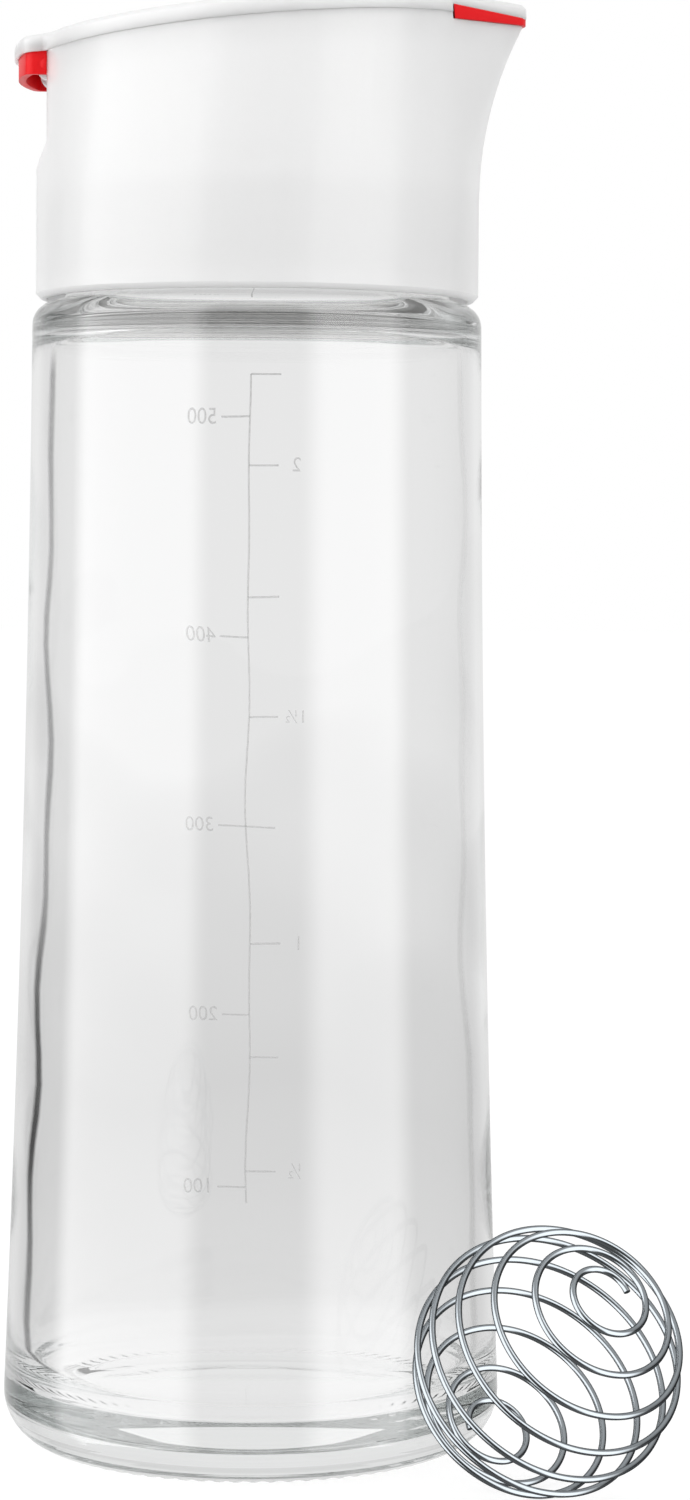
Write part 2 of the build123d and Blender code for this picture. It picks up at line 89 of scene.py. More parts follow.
# %% A tree of nodes
class NodeTree:
    """A tree of nodes, with the one method that makes every node in it."""

    def __init__(self, tree):
        self.tree = tree

    def node(self, kind, settings=None, sockets=None):
        """Adds a node, sets its settings first and then its sockets, by value or link."""
        made = self.tree.nodes.new(kind)
        for name, value in (settings or {}).items():
            if name == "stops":
                while len(made.color_ramp.elements) < len(value):
                    made.color_ramp.elements.new(1)
                for element, (position, colour) in zip(made.color_ramp.elements, value):
                    element.position = position
                    element.color = colour
            else:
                setattr(made, name, value)
        for name, value in (sockets or {}).items():
            if isinstance(value, Value):
                self.tree.links.new(value.socket, made.inputs[name])
            else:
                made.inputs[name].default_value = value
        return made

    def value(self, kind, settings=None, sockets=None, output=0):
        """Adds a node and returns one of its outputs."""
        return Value(self, self.node(kind, settings, sockets).outputs[output])

    def maths(self, operation, *terms):
        """Adds a Math node."""
        return self.value("ShaderNodeMath", {"operation": operation}, dict(enumerate(terms)))

    def parts(self, vector):
        """The X, Y and Z of a vector."""
        made = self.node("ShaderNodeSeparateXYZ", sockets={"Vector": vector})
        return [Value(self, output) for output in made.outputs]


# %% A material under construction
class Finish(NodeTree):
    """A material, or the world, that is being built."""

    def __init__(self, name, owner=None):
        self.owner = owner or bpy.data.materials.new(name)
        self.owner.use_nodes = True
        super().__init__(self.owner.node_tree)
        self.tree.nodes.clear()

    def ramp(self, value, start, end, low=0.0, high=1.0, kind="LINEAR"):
        """Takes a value from one range to another, and holds it past both ends."""
        sockets = {"Value": value, "From Min": start, "From Max": end, "To Min": low, "To Max": high}
        return self.value("ShaderNodeMapRange", {"interpolation_type": kind}, sockets)

    def blend(self, share, first, second):
        """Mixes two colours. A Mix node takes colours at sockets 6 and 7, and gives one at 2."""
        sockets = {0: share, 6: first, 7: second}
        return self.value("ShaderNodeMix", {"data_type": "RGBA"}, sockets, 2)

    def mix_shaders(self, share, first, second):
        """Mixes two shaders by a share."""
        return self.value("ShaderNodeMixShader", sockets={0: share, 1: first, 2: second})

    def place(self):
        """Object coordinates in metres, the same as the frame's own."""
        return self.value("ShaderNodeTexCoord", output="Object")

    def noise(self, scale, detail=2.0):
        """Noise from 0 to 1 over the object."""
        sockets = {"Vector": self.place(), "Scale": scale, "Detail": detail}
        return self.value("ShaderNodeTexNoise", sockets=sockets)

    def bump(self, height, depth):
        """Turns a height pattern into a normal."""
        sockets = {"Height": height, "Distance": depth, "Strength": 1.0}
        return self.value("ShaderNodeBump", sockets=sockets, output="Normal")

    def light_path(self, name):
        """One of the outputs that tell what kind of ray looks."""
        return self.value("ShaderNodeLightPath", output=name)

    def surface(self, **sockets):
        """Adds the main shader and joins it to the output."""
        named = {name.replace("_", " "): value for name, value in sockets.items()}
        shader = self.value("ShaderNodeBsdfPrincipled", sockets=named)
        self.node("ShaderNodeOutputMaterial", sockets={"Surface": shader})
        return self.owner


def grey(level):
    """A neutral colour."""
    return (level, level, level, 1.0)


# %% [markdown]
# ## Clear glass
# Real glass is clear but never invisible: each wall takes away a little of the light,
# and where one looks along the wall the path is long and the edge turns grey. So the
# shader is a plain refracting one, and the darkening comes from a volume absorption
# that works over the true length of the path. That holds from every side.
#
# Just inside the edge there is an angle at which light can barely get through the inner
# wall. There the photographed glass shows a thin dark line that wanders and fades. It
# could be left to the surroundings, but then it would need a black card in the studio.
# Here that dark line is painted shade: the inner wall mixes in a black shader in a narrow
# range of view angles, by patches and more on one side of the bottle, so that the line
# stays where the wall turns away.

# %% The glass finish
glass_ior = 1.5
glass_density = 14.0            # absorption for each metre of path
glass_tint = (0.949, 0.958, 0.956, 1.0)
line_starts = (0.240, 0.247)    # how far the wall has turned away where the line comes in
line_ends = (0.262, 0.254)      # where it has gone, and where it is still whole
# Painted shade: the colour of the dark line on the inner wall.
painted_shade_black = grey(0.01)
patch_scale = 14.0
patch_range = (0.38, 0.56)      # from no patch to a full one
patch_least, patch_gain = 0.45, 0.50
line_across = (20 * mm, -20 * mm)
spout_side_share = 0.15
line_heights = (60 * mm, 120 * mm)
high_share = 0.45


def make_glass():
    """Clear thick glass with absorption in its depth and a painted dark line of shade on its inner wall.
    """
    finish = Finish("clear_glass")
    inside = finish.value("ShaderNodeAttribute", {"attribute_name": "inside"}, output="Fac")
    backs = finish.value("ShaderNodeNewGeometry", output="Backfacing")
    turned_away = finish.value("ShaderNodeLayerWeight", sockets={"Blend": 0.5}, output="Facing")
    window = finish.ramp(turned_away, *line_starts) * finish.ramp(turned_away, *line_ends)
    patches = finish.ramp(finish.noise(patch_scale), *patch_range)
    x, _, z = finish.parts(finish.place())
    side_share = finish.ramp(x, *line_across, spout_side_share, 1.0)
    low_share = finish.ramp(z, *line_heights, 1.0, high_share)
    patchy = patch_least + patch_gain * patches
    # Painted shade: how strongly the black line is mixed into the clear glass.
    line = window * inside * backs * side_share * low_share * patchy
    sockets = {
        "Base Color": grey(1.0),
        "Roughness": 0.0,
        "IOR": glass_ior,
        "Transmission Weight": 1.0,
    }
    clear = finish.value("ShaderNodeBsdfPrincipled", sockets=sockets)
    # Painted shade: a black diffuse shader that draws the dark line.
    dark = finish.value("ShaderNodeBsdfDiffuse", sockets={"Color": painted_shade_black})
    shown = finish.mix_shaders(line, clear, dark)
    absorbing = {"Color": glass_tint, "Density": glass_density}
    depth = finish.value("ShaderNodeVolumeAbsorption", sockets=absorbing)
    finish.node("ShaderNodeOutputMaterial", sockets={"Surface": shown, "Volume": depth})
    return finish.owner


clear_glass = make_glass()

# %% [markdown]
# ## Moulded plastic and silicone
# Moulded white plastic looks flat when it is one even colour. On the real lid the
# gloss is a little uneven and the skin has a very fine orange peel, so both the
# roughness and the normal follow a noise. Silicone is the same idea with a duller
# and coarser skin. White plastic also lets light into its skin, which softens every
# narrow gap, so the pale pieces scatter light inside. The thread ring sits deep in the
# lid, where little light reaches it through thin walls, so that light is painted on: its
# inner side gives off a little light, a painted glow.

# %% Moulded finishes
cloud_scale = 60.0
cloud_shade = 0.97              # the darker tone of the clouds, as a share of the colour
coat_roughness = 0.08
light_reach = 3.0 * mm          # how far light spreads below the skin
# Radii over which the painted glow fades in on the inner side.
painted_glow_radii = (30.6 * mm, 31.6 * mm)


def make_moulded(
    name, colour, gloss, unevenness, peel_scale, peel_depth, coat=0.0, shine=0.5, glow=0.0, painted_inner_glow=0.0
):
    """A moulded plastic or rubber: even colour, uneven gloss and a fine peel.

    Glow is how much of the light goes through the skin and spreads inside it. Painted inner
    glow is painted light: an emission on the inner side of a hidden piece that stands in
    for the light that reaches it through the walls round it."""
    finish = Finish(name)
    cloud = finish.noise(cloud_scale, detail=3.0)
    peel = finish.noise(peel_scale)
    shade = tuple(cloud_shade * part for part in colour[:3]) + (1.0,)
    x, y, _ = finish.parts(finish.place())
    from_axis = finish.maths("SQRT", x * x + y * y)
    inner = finish.ramp(from_axis, *painted_glow_radii, 1.0, 0.0)
    return finish.surface(
        Base_Color=finish.blend(cloud, shade, colour),
        Roughness=gloss + (cloud - 0.5) * unevenness,
        Coat_Weight=coat,
        Coat_Roughness=coat_roughness,
        Specular_IOR_Level=shine,
        Subsurface_Weight=glow,
        Subsurface_Radius=(1.0, 1.0, 1.0),
        Subsurface_Scale=light_reach,
        # Painted glow: the inner side near the axis gives off light in place of light through the walls.
        Emission_Color=finish.blend(inner, grey(0.0), grey(1.0)),
        Emission_Strength=painted_inner_glow,
        Normal=finish.bump(peel, peel_depth),
    )


lid_white = make_moulded(
    "white_plastic",
    grey(0.89),
    gloss=0.34,
    unevenness=0.10,
    peel_scale=1400.0,
    peel_depth=0.012 * mm,
    coat=0.2,
    shine=0.4,
    glow=1.0,
)
frame_red = make_moulded(
    "red_plastic",
    (0.82, 0.004, 0.008, 1),
    gloss=0.40,
    unevenness=0.10,
    peel_scale=1400.0,
    peel_depth=0.015 * mm,
    shine=0.22,
)
ring_white = make_moulded(
    "natural_plastic",
    (0.84, 0.84, 0.83, 1),
    gloss=0.46,
    unevenness=0.10,
    peel_scale=1100.0,
    peel_depth=0.02 * mm,
    glow=1.0,
    painted_inner_glow=0.3,
)
silicone = make_moulded(
    "grey_silicone",
    (0.70, 0.70, 0.69, 1),
    gloss=0.58,
    unevenness=0.12,
    peel_scale=900.0,
    peel_depth=0.04 * mm,
    glow=0.5,
)

# %% [markdown]
# ## Steel
# Spring wire is drawn through a die and comes out smooth. Its lines could be drawn with
# a noise along the wire, but they are far finer than a pixel here, so the wire has one
# even tone. Thin wire in a bright studio shows dark rims, and these are painted shade: the
# reflection's tint falls to near black where the surface turns away. The pin is turned
# and not drawn, and its tone is a little cloudy.

# %% Drawn and turned steel
dark_steel = (0.17, 0.19, 0.205, 1)
pale_steel = (0.37, 0.395, 0.415, 1)
middle_steel = tuple((dark + pale) / 2 for dark, pale in zip(dark_steel, pale_steel))
painted_dark_rim_tint = grey(0.02)
least_roughness, roughness_gain = 0.06, 0.12
pin_cloud_scale = 500.0
pin_relief = 0.006 * mm


def make_wire_steel():
    """Bright steel of one even tone."""
    return Finish("drawn_wire").surface(
        Base_Color=middle_steel,
        Metallic=1.0,
        Roughness=least_roughness + roughness_gain / 2,
        # Painted shade: a near-black tint darkens the reflection at the rims.
        Specular_Tint=painted_dark_rim_tint,
    )


def make_pin_steel():
    """Steel whose tone and gloss follow a fine noise."""
    finish = Finish("bright_pin")
    clouds = finish.noise(pin_cloud_scale, detail=3.0)
    return finish.surface(
        Base_Color=finish.blend(clouds, dark_steel, pale_steel),
        Metallic=1.0,
        Roughness=least_roughness + clouds * roughness_gain,
        # Painted shade: a near-black tint darkens the reflection at the rims.
        Specular_Tint=painted_dark_rim_tint,
        Normal=finish.bump(clouds, pin_relief),
    )


wire_steel = make_wire_steel()
pin_steel = make_pin_steel()

# %% [markdown]
# ## Print on the glass
# The scale is printed in pale enamel that hardly differs from the glass, and in the
# photograph it only just shows. A dark line would be wrong, so the print is a grey that
# lets most of the light past, with fine specks in it.

# %% Print
speck_scale = 2500.0
ink_tones = (grey(0.50), grey(0.60))
ink_roughness = 0.6
ink_cover, ink_cover_gain = 0.18, 0.25


def make_ink():
    """Pale print: nearly the tone of the glass, so it only just shows."""
    finish = Finish("scale_print")
    speck = finish.noise(speck_scale)
    return finish.surface(
        Base_Color=finish.blend(speck, *ink_tones),
        Roughness=ink_roughness,
        Alpha=ink_cover + speck * ink_cover_gain,
    )


scale_print = make_ink()
finishes = [clear_glass, lid_white, frame_red, ring_white, silicone, wire_steel, pin_steel, scale_print]
print("finishes:", ", ".join(made.name for made in finishes))

# %% [markdown]
# ## The glass bottle
# A bottle is a solid of revolution, so its wall is one closed outline turned about the
# axis: underside, standing ring, heel, side, shoulder, neck, rim and back down inside
# to the floor. The outline is a list of corners, and some have a round. A copy of the
# CAD mesh would be too coarse, because glass shows every flat as a kink in what is
# behind it, so the outline is turned here in many fine steps.

# %% Sizes of the glass
foot_radius = 38.0 * mm
shoulder_radius = 33.8 * mm
shoulder_height = 171.6 * mm
side_bow = 0.74 * mm
wall = 3.0 * mm
heel_round = 8.0 * mm
ring_width = 1.6 * mm
push_up = 3.0 * mm
base_thickness = 6.5 * mm
floor_crown = 1.0 * mm
inner_heel_round = 7.0 * mm
shoulder_round = 3.5 * mm
inner_shoulder_round = 3.4 * mm
shoulder_thickness = 3.9 * mm
neck_radius = 28.9 * mm
neck_foot = 173.1 * mm
neck_foot_round = 0.8 * mm
throat_round = 2.4 * mm
neck_wall = 3.0 * mm
rim_height = glass_high.z
rim_round = 0.8 * mm


def side_radius(height):
    """Outer radius of the side: a taper that bows in a little."""
    share = height / shoulder_height
    return foot_radius + (shoulder_radius - foot_radius) * share - 4 * side_bow * share * (1 - share)


def bowl(radius, edge_radius, rise):
    """Height of a shallow spherical bowl below its middle, at a radius."""
    ball = (edge_radius**2 + rise**2) / (2 * rise)
    return ball - sqrt(ball**2 - radius**2)


# %% Corners with rounds
def rounded(corners, steps_for):
    """Turns corners (radius, height, round) into an outline whose rounds are arcs."""
    outline = []
    for index, (x, y, size) in enumerate(corners):
        here = Vector((x, y))
        if not size or index in (0, len(corners) - 1):
            outline.append(here)
            continue
        back = (Vector(corners[index - 1][:2]) - here).normalized()
        ahead = (Vector(corners[index + 1][:2]) - here).normalized()
        half = acos(max(-1.0, min(1.0, back.dot(ahead)))) / 2
        middle = here + (back + ahead).normalized() * (size / sin(half))
        first = here + back * (size / tan(half)) - middle
        turn = first.angle_signed(here + ahead * (size / tan(half)) - middle)
        steps = steps_for(size)
        for step in range(steps + 1):
            outline.append(middle + Matrix.Rotation(-turn * step / steps, 2) @ first)
    return outline


def filled(outline, longest):
    """Adds points on runs that are longer than a length, which may differ by height."""
    dense = [outline[0]]
    for start, end in zip(outline, outline[1:]):
        count = max(1, round((end - start).length / longest((start + end) / 2)))
        dense += [start.lerp(end, (step + 1) / count) for step in range(count)]
    return dense


# %% The outline of the glass
curve_steps = 12                # straight steps along each bowed line of the section
floor_steps = 8                 # on the floor, where the round takes the rest


def bowl_corners(edge, rise, middle_height, steps):
    """Corners along a shallow bowl, numbered from the axis out to its edge."""
    radii = [edge * step / curve_steps for step in steps]
    return [(radius, middle_height - bowl(radius, edge, rise), 0) for radius in radii]


def side_corners(top, inset, steps):
    """Corners along the side, or inside it by an inset, numbered up to a height."""
    heights = [top * step / curve_steps for step in steps]
    return [(side_radius(height) - inset, height, 0) for height in heights]


def glass_outline():
    """Corners of the wall's section, from the underside's middle round to the floor's."""
    standing = foot_radius - heel_round - ring_width
    floor = push_up + base_thickness
    floor_edge = floor - floor_crown
    corner = side_radius(floor_edge) - wall
    inner_top = shoulder_height - shoulder_thickness
    throat = neck_foot - shoulder_thickness
    mouth = neck_radius - neck_wall
    return [
        *bowl_corners(standing, push_up, push_up, range(curve_steps + 1)),
        (foot_radius, 0, heel_round),
        *side_corners(shoulder_height, 0, range(1, curve_steps)),
        (shoulder_radius, shoulder_height, shoulder_round),
        (neck_radius, neck_foot, neck_foot_round),
        (neck_radius, rim_height, rim_round),
        (mouth, rim_height, rim_round),
        (mouth, throat, throat_round),
        (side_radius(inner_top) - wall, inner_top, inner_shoulder_round),
        *side_corners(inner_top, wall, range(curve_steps - 1, 1, -1)),
        (corner, floor_edge, inner_heel_round),
        *bowl_corners(corner, floor_crown, floor, range(floor_steps, -1, -1)),
    ]


# %% [markdown]
# The neck carries a coarse thread. Instead of joining a second mesh, which would put a
# wall inside the glass, the neck's own points are pushed out where the thread runs. The
# inside of a pressed bottle is a little uneven too, which makes the soft ripples at the
# edge of the glass, so the inner wall gets three slow waves of up to 0.3 mm together.

# %% Thread and ripple
thread_pitch = 5.0 * mm
thread_low = 176.6 * mm
thread_turns = 1.4
thread_rise = 0.85 * mm
thread_half = 1.15 * mm
thread_fade = 12                # a twelfth of a turn at each end
thread_steepness = 1.6
ripple = 0.30 * mm
ripple_waves = [(1.0, 9.0, 2, 0.0), (0.6, 23.0, -3, 1.0), (0.4, 41.0, 5, 0.0)]
ripple_low, ripple_low_rate = 0.06, 6       # where it fades in, as a share of the height
ripple_high, ripple_high_rate = 0.95, 8     # and where it has faded out
ripple_span = (12 * mm, 165 * mm)
# Heights of the inner wall that carries the painted dark line of shade.
painted_line_span = (14 * mm, 164 * mm)
radius_slack = 0.05 * mm
neck_clear = 1.0 * mm           # of the neck's foot, which has no thread


def clamp(value):
    """Keeps a value between 0 and 1."""
    return min(1.0, max(0.0, value))


def thread_push(angle, height):
    """How far the neck's thread stands out at a place."""
    push = 0.0
    for turn in range(2):
        run = angle / (2 * pi) + turn
        if run > thread_turns:
            continue
        away = abs(height - thread_low - thread_pitch * run)
        fade = min(1.0, thread_fade * run, thread_fade * (thread_turns - run))
        push = max(push, fade * thread_rise * clamp(thread_steepness * (1 - away / thread_half)))
    return push


def ripple_push(angle, height):
    """The slow unevenness of the inner wall, which fades out at the heel and the shoulder."""
    rise = height / shoulder_height
    wave = sum(size * sin(up * rise + about * angle + start) for size, up, about, start in ripple_waves)
    ends = clamp(ripple_low_rate * (rise - ripple_low)) * clamp(ripple_high_rate * (ripple_high - rise))
    return ripple / 2 * wave * ends


def on_inner_wall(radius, height, span):
    """Whether a point lies on the inner wall, between two heights."""
    return radius < side_radius(height) - wall / 2 and span[0] < height < span[1]


def shifted_radius(radius, height, angle):
    """Radius of the glass at an angle, with thread and ripple."""
    if abs(radius - neck_radius) < radius_slack and height > neck_foot + neck_clear:
        return radius + thread_push(angle, height)
    if on_inner_wall(radius, height, ripple_span):
        return radius + ripple_push(angle, height)
    return radius


# %% Turn an outline into a mesh
pole_slack = 0.001 * mm


def turned(name, outline, count, radius_at):
    """Turns an outline about Z into a closed mesh. Points on the axis become poles."""
    vertices, faces, rows = [], [], []
    for radius, height in outline:
        if radius < pole_slack:
            rows.append([len(vertices)])
            vertices.append((0, 0, height))
            continue
        rows.append(range(len(vertices), len(vertices) + count))
        for step in range(count):
            angle = 2 * pi * step / count
            reach = radius_at(radius, height, angle)
            vertices.append((reach * cos(angle), reach * sin(angle), height))
    for low, high in zip(rows, rows[1:]):
        for step in range(count):
            after = (step + 1) % count
            if len(low) == 1:
                faces.append((low[0], high[after], high[step]))
            elif len(high) == 1:
                faces.append((low[step], low[after], high[0]))
            else:
                faces.append((low[step], low[after], high[after], high[step]))
    mesh = bpy.data.meshes.new(name)
    mesh.from_pydata(vertices, [], faces)
    mesh.shade_smooth()
    return mesh


def mark_inside(mesh):
    """Stores 1 on the points of the inner wall, where the finish paints its dark line of shade."""
    mark = mesh.attributes.new("inside", "FLOAT", "POINT")
    for vertex in mesh.vertices:
        x, y, z = vertex.co
        inner = on_inner_wall(sqrt(x * x + y * y), z, painted_line_span)
        mark.data[vertex.index].value = 1.0 if inner else 0.0


def linked(name, data):
    """Makes an object of some data, in the scene."""
    made = bpy.data.objects.new(name, data)
    bpy.context.scene.collection.objects.link(made)
    return made


def put(name, mesh, body, node=None, finish=None):
    """Makes an object of a mesh, lets it ride on a body and stand for a CAD node."""
    piece = linked(name, mesh)
    if finish:
        mesh.materials.clear()
        mesh.materials.append(finish)
    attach(piece, body)
    if node:
        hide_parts(node)
    return piece


# %% Turn the glass
knurls = 77                     # ribs round the heel
around = knurls * 6
neck_row, heel_row, side_row = 0.50 * mm, 0.45 * mm, 4.0 * mm
neck_inset = 0.2 * mm
heel_top = 6 * mm
heel_inner = 28 * mm
big_round = 2 * mm


def row_length(point):
    """Longest step along the outline: fine on the neck and heel, coarse on the side."""
    if point.x > neck_radius - neck_inset and point.y > neck_foot:
        return neck_row
    if point.y < heel_top and heel_inner < point.x:
        return heel_row
    return side_row


def round_steps(size):
    """Steps along a round: more on a big one."""
    return 10 if size > big_round else 5


outline = filled(rounded(glass_outline(), round_steps), row_length)
glass_mesh = turned("glass", outline, around, shifted_radius)
mark_inside(glass_mesh)
print(f"glass outline: {len(outline)} points, {len(glass_mesh.polygons)} faces")

# %% [markdown]
# ## Knurls under the heel
# The bearing ring of a bottle has a ring of small slanted ribs, so that it grips and
# cools evenly. They repeat round the ring, so Geometry Nodes press them into the mesh:
# an angle is worked out from each point, a sine of it makes the ribs, and a window over
# the radius keeps them on the heel. The grooves go in, never below the floor.


# %% Nodes for geometry
class Recipe(NodeTree):
    """A Geometry Nodes tree with named inputs, built like a formula."""

    def __init__(self, name, inputs):
        super().__init__(bpy.data.node_groups.new(name, "GeometryNodeTree"))
        face = self.tree.interface
        face.new_socket("Geometry", in_out="INPUT", socket_type="NodeSocketGeometry")
        for label, kind in inputs:
            face.new_socket(label, in_out="INPUT", socket_type=kind)
        face.new_socket("Geometry", in_out="OUTPUT", socket_type="NodeSocketGeometry")
        start = self.tree.nodes.new("NodeGroupInput").outputs
        self.inputs = [Value(self, start[index]) for index in range(len(inputs) + 1)]
        self.output = self.tree.nodes.new("NodeGroupOutput").inputs[0]

    def finish(self, geometry, material):
        """Ends the tree in real geometry with its material."""
        real = self.value("GeometryNodeRealizeInstances", sockets={0: geometry})
        painted = self.node("GeometryNodeSetMaterial", sockets={"Geometry": real, "Material": material})
        self.tree.links.new(painted.outputs[0], self.output)

    def applied(self, data, values, name):
        """Runs the tree on some data with the values given and returns the mesh it makes."""
        helper = linked("helper", data)
        modifier = helper.modifiers.new("recipe", "NODES")
        modifier.node_group = self.tree
        for item in self.tree.interface.items_tree:
            if item.in_out == "INPUT" and item.name in values:
                modifier[item.identifier] = values[item.name]
        mesh = evaluated_mesh(helper)
        mesh.name = name
        return mesh


def evaluated_mesh(helper):
    """The mesh that a helper object shows. The helper is removed."""
    graph = bpy.context.evaluated_depsgraph_get()
    mesh = bpy.data.meshes.new_from_object(helper.evaluated_get(graph))
    bpy.data.objects.remove(helper)
    return mesh


# %% Press the knurls
knurl_top = 3.0 * mm
knurl_values = {
    "Count": float(knurls),
    "Radius": 31.0 * mm,
    "Half Width": 2.2 * mm,
    "Depth": 0.30 * mm,
    "Slant": 520.0,             # radians of the pattern for each metre outwards
}


def knurl_recipe():
    """Grooves round the heel: sine of the angle inside a window of radius."""
    recipe = Recipe("heel_knurls", [(label, "NodeSocketFloat") for label in knurl_values])
    geometry, count, ring, half, depth, slant = recipe.inputs
    x, y, z = recipe.parts(recipe.value("GeometryNodeInputPosition"))
    angle = recipe.maths("ARCTAN2", y, x)
    away = recipe.maths("SQRT", x * x + y * y) - ring
    rib = recipe.maths("SINE", (angle * count + away * slant) * 0.5)
    share = recipe.maths("DIVIDE", away, half)
    window = recipe.maths("MAXIMUM", 1.0 - share * share, 0.0)
    low = recipe.maths("LESS_THAN", z, knurl_top)
    push = rib * rib * window * (depth * low)
    inwards = {0: recipe.value("GeometryNodeInputNormal"), "Scale": push * -1.0}
    offset = recipe.value("ShaderNodeVectorMath", {"operation": "SCALE"}, inwards)
    moved = recipe.value("GeometryNodeSetPosition", sockets={"Geometry": geometry, "Offset": offset})
    recipe.finish(moved, clear_glass)
    return recipe


knurled_mesh = knurl_recipe().applied(glass_mesh, knurl_values, "bottle_glass")
bottle = put("bottle_glass", knurled_mesh, "bottle", "glass_bottle")
bottle.visible_shadow = False
print(f"bottle: {len(knurled_mesh.polygons)} faces, {knurls} knurls")

# %% [markdown]
# ## The whisk ball
# One wire is wound from pole to pole over a sphere. Its line has a formula: the angle
# from the pole grows evenly with the turns, eased near the poles so that the first turn
# keeps its opening. The line becomes a curve, and a small recipe sweeps a round section
# along it, which keeps the wire one unbroken tube.

# %% The line of the wire
ball_middle = (ball_low + ball_high) / 2
turns = 9.5
turn_pitch = 18.1               # degrees from the pole for each turn
pole_opening = 12.0
pole_tilt = radians(49.5)
pole_bearing = radians(-60.7)
wire_radius = 0.5 * mm
wire_sides = 14
wire_steps = 1500
winding_radius = 19.0 * mm
axis = Vector((sin(pole_tilt) * cos(pole_bearing), sin(pole_tilt) * sin(pole_bearing), cos(pole_tilt)))
side = Vector((0, 0, 1)).cross(axis).normalized()
up = axis.cross(side)


def wire_direction(turn):
    """From the ball's middle to the wire after a number of turns."""
    eased = ((90 - abs(turn - turns / 2) * turn_pitch) ** 4 + pole_opening**4) ** 0.25
    lean = radians(eased if turn < turns / 2 else 180 - eased)
    return axis * cos(lean) + (side * cos(2 * pi * turn) + up * sin(2 * pi * turn)) * sin(lean)


# %% Sweep the wire
def wire_mesh(name, line, radius, sides, material):
    """Sweeps a round section along a line of points, with closed ends."""
    curve = bpy.data.curves.new(name, "CURVE")
    curve.dimensions = "3D"
    spline = curve.splines.new("POLY")
    spline.points.add(len(line) - 1)
    for point, place in zip(spline.points, line):
        point.co = (*place, 1)
    recipe = Recipe(name + "_sweep", [("Radius", "NodeSocketFloat"), ("Sides", "NodeSocketInt")])
    geometry, thick, count = recipe.inputs
    round_section = {"Resolution": count, "Radius": thick}
    section = recipe.value("GeometryNodeCurvePrimitiveCircle", sockets=round_section)
    closed = {"Curve": geometry, "Profile Curve": section, "Fill Caps": True}
    swept = recipe.value("GeometryNodeCurveToMesh", sockets=closed)
    smoothed = {"Geometry": swept, "Shade Smooth": True}
    recipe.finish(recipe.value("GeometryNodeSetShadeSmooth", sockets=smoothed), material)
    return recipe.applied(curve, {"Radius": radius, "Sides": sides}, name)


wire_turns = [turns * step / wire_steps for step in range(wire_steps + 1)]
wire_line = [ball_middle + wire_direction(turn) * winding_radius for turn in wire_turns]
whisk_mesh = wire_mesh("whisk_wire", wire_line, wire_radius, wire_sides, wire_steel)
whisk = put("whisk_wire", whisk_mesh, "whisk", "whisk_ball")
whisk.visible_glossy = False
print(f"wire: {len(whisk_mesh.polygons)} faces")

# %% [markdown]
# ## Moulded pieces from the frame
# The lid's shell, the cap and its inner frame have their true shape in the CAD frame,
# but that mesh is loose triangles with knife edges. A copy is merged, its flat areas
# are dissolved, and a narrow bevel rounds each edge, as a mould does. The bevel is what
# catches the thin bright lines along the edges of the lid. The cap and the shell meet
# at a seam. The solids keep a wide gap there, and the copies move their faces towards
# each other, so that only the fine line of the photograph is left.

# %% Rounded copies
weld_distance = 0.002 * mm
flat_angle = radians(0.3)
edge_angle = radians(28)
seam_tilt = radians(5.3)
seam_normal = Vector((-sin(seam_tilt), 0, cos(seam_tilt)))
seam_middle = Vector((0, 0, 211.7 * mm))
level_slack = 0.01 * mm
shell_rim = (-0.2 * mm, 0.07 * mm)      # level above the seam, and how far it moves
shell_ledge = (-1.2 * mm, 0.1 * mm)
cover_rim = (0.0, -0.08 * mm)


def merged_copy(node):
    """A welded copy of a CAD node's mesh with its flat areas joined up."""
    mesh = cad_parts[node].data.copy()
    mesh.name = node + "_skin"
    work = bmesh.new()
    work.from_mesh(mesh)
    bmesh.ops.remove_doubles(work, verts=work.verts, dist=weld_distance)
    bmesh.ops.dissolve_limit(work, angle_limit=flat_angle, verts=work.verts, edges=work.edges)
    work.to_mesh(mesh)
    work.free()
    mesh.shade_smooth()
    return mesh


def move_level(mesh, level, shift):
    """Moves the points that lie a level above the seam along the seam's normal."""
    for vertex in mesh.vertices:
        if abs((vertex.co - seam_middle).dot(seam_normal) - level) < level_slack:
            vertex.co += seam_normal * shift


def moulded(node, body, finish, edge, levels=()):
    """Replaces a CAD node by a copy with rounded edges."""
    mesh = merged_copy(node)
    for level, shift in levels:
        move_level(mesh, level, shift)
    piece = put(node + "_skin", mesh, body, node, finish)
    bevel = piece.modifiers.new("edge", "BEVEL")
    bevel.width = edge
    bevel.segments = 3
    bevel.limit_method = "ANGLE"
    bevel.angle_limit = edge_angle
    bevel.harden_normals = True
    bevel.use_clamp_overlap = True
    return piece


skins = [
    moulded("lid_shell", "lid", lid_white, 0.1 * mm, [shell_rim, shell_ledge]),
    moulded("cap_cover", "flip_cap", lid_white, 0.1 * mm, [cover_rim]),
    moulded("cap_frame", "flip_cap", frame_red, 0.12 * mm),
    moulded("screw_ring", "ring", ring_white, 0.15 * mm),
    moulded("neck_gasket", "gasket", silicone, 0.15 * mm),
    moulded("spout_seal", "flip_cap", silicone, 0.15 * mm),
    moulded("vent_seal", "flip_cap", silicone, 0.1 * mm),
    moulded("hinge_pin", "lid", pin_steel, 0.05 * mm),
]
print("moulded:", ", ".join(piece.name for piece in skins))

# %% [markdown]
# The pin doesn't show from outside. Two small pucks close the ends of its bores in the
# tab's cheeks, turned like the glass and laid on their sides.

# %% Closed ends of the pin's bores
hinge_place = Vector((-31.3 * mm, 0, 206.796 * mm))
cheek_side = 11.38 * mm
plug_radius = 0.9 * mm
plug_depth = 0.34 * mm
plug_chamfer = 0.04 * mm
plug_outline = [
    (0, 0),
    (plug_radius, 0),
    (plug_radius, plug_depth - plug_chamfer),
    (plug_radius - plug_chamfer, plug_depth),
    (0, plug_depth),
]
plug_sides = 32


